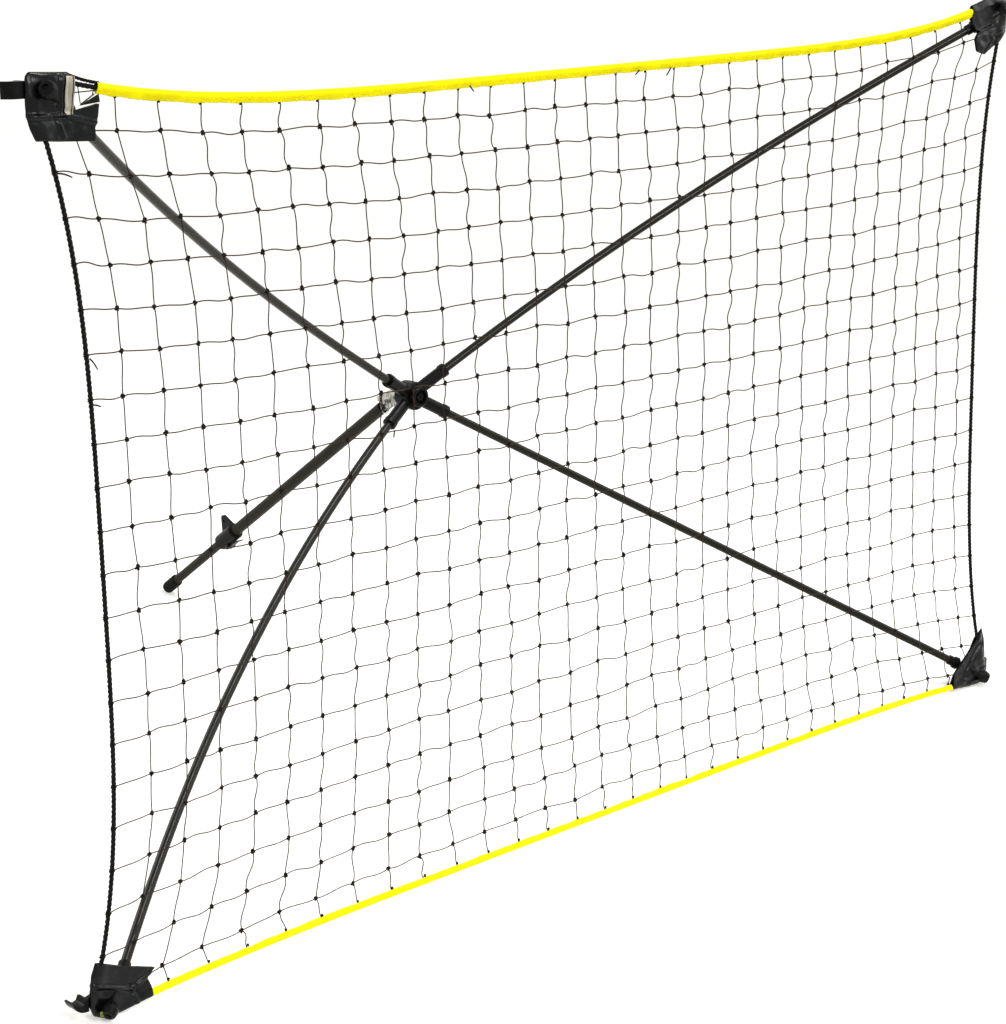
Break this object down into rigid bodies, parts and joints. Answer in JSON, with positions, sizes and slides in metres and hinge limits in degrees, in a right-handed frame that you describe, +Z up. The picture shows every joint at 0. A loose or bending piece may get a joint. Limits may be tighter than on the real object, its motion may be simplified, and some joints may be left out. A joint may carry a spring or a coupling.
{
  "type": "rebound net",
  "caption": "Free-standing rebound net: a knotted net with yellow edges held by bowed rods in a hub, propped by a telescopic leg with a cam clamp.",
  "frame": {"origin": "centre of the bounding box at the ground", "axes": "+X to the right along the net seen by the player, +Y back from the player, +Z up"},
  "size_m": [1.608, 0.997, 0.9902],
  "materials": {
    "border_rope": "twisted dark rope, matt",
    "foot_rubber": "black rubber",
    "moulded_plastic": "black moulded plastic",
    "net_twine": "twisted dark twine, matt",
    "pocket_vinyl": "dark vinyl, semi-gloss",
    "rod_fibreglass": "dark fibreglass, semi-gloss",
    "tube_enamel": "dark enamel, satin",
    "yellow_tape": "woven yellow tape",
    "zinc_steel": "bright zinc plate"
  },
  "bodies": {
    "net_frame": {"border_rope": "border_rope", "bottom_band": "yellow_tape", "corner_hook_bottom_left": "moulded_plastic", "corner_hook_bottom_right": "moulded_plastic", "corner_hook_top_left": "moulded_plastic", "corner_hook_top_right": "moulded_plastic", "end_knob_bottom_left": "moulded_plastic", "end_knob_bottom_right": "moulded_plastic", "end_knob_top_left": "moulded_plastic", "end_knob_top_right": "moulded_plastic", "hub_body": "moulded_plastic", "hub_bolt": "zinc_steel", "hub_nut": "zinc_steel", "hub_washer": "zinc_steel", "leg_bracket": "zinc_steel", "leg_pin": "zinc_steel", "net_mesh": "net_twine", "pocket_bottom_left": "pocket_vinyl", "pocket_bottom_right": "pocket_vinyl", "pocket_top_left": "pocket_vinyl", "pocket_top_right": "pocket_vinyl", "rod_bottom_left": "rod_fibreglass", "rod_bottom_right": "rod_fibreglass", "rod_top_left": "rod_fibreglass", "rod_top_right": "rod_fibreglass", "stop_pin": "zinc_steel", "top_band": "yellow_tape"},
    "leg": {"leg_top_plug": "moulded_plastic", "leg_upper_tube": "tube_enamel", "clamp_collar": "moulded_plastic", "lever_pin": "zinc_steel"},
    "lower_leg": {"leg_lower_tube": "tube_enamel", "tube_guide": "moulded_plastic", "foot_cap": "foot_rubber"},
    "clamp_lever": {"cam_lever": "moulded_plastic"},
    "ring": {"split_ring": "zinc_steel"}
  },
  "joints": [
    {"name": "leg_hinge", "type": "hinge", "parent": "net_frame", "child": "leg", "pos_m": [0, -0.01419, 0.44226], "axis": [1, 0, 0], "range_deg": [-55.9, 0]},
    {"name": "leg_slide", "type": "slide", "parent": "leg", "child": "lower_leg", "axis": [0, 0.7583, -0.6519], "range_m": [-0.12, 0.16]},
    {"name": "clamp_lever_hinge", "type": "hinge", "parent": "leg", "child": "clamp_lever", "pos_m": [0, 0.3361, 0.12369], "axis": [1, 0, 0], "range_deg": [0, 110]},
    {"name": "ring_hinge", "type": "hinge", "parent": "net_frame", "child": "ring", "pos_m": [-0.011, -0.01419, 0.44226], "axis": [0, 0.9936, -0.113], "range_deg": [-5, 60]}
  ]
}
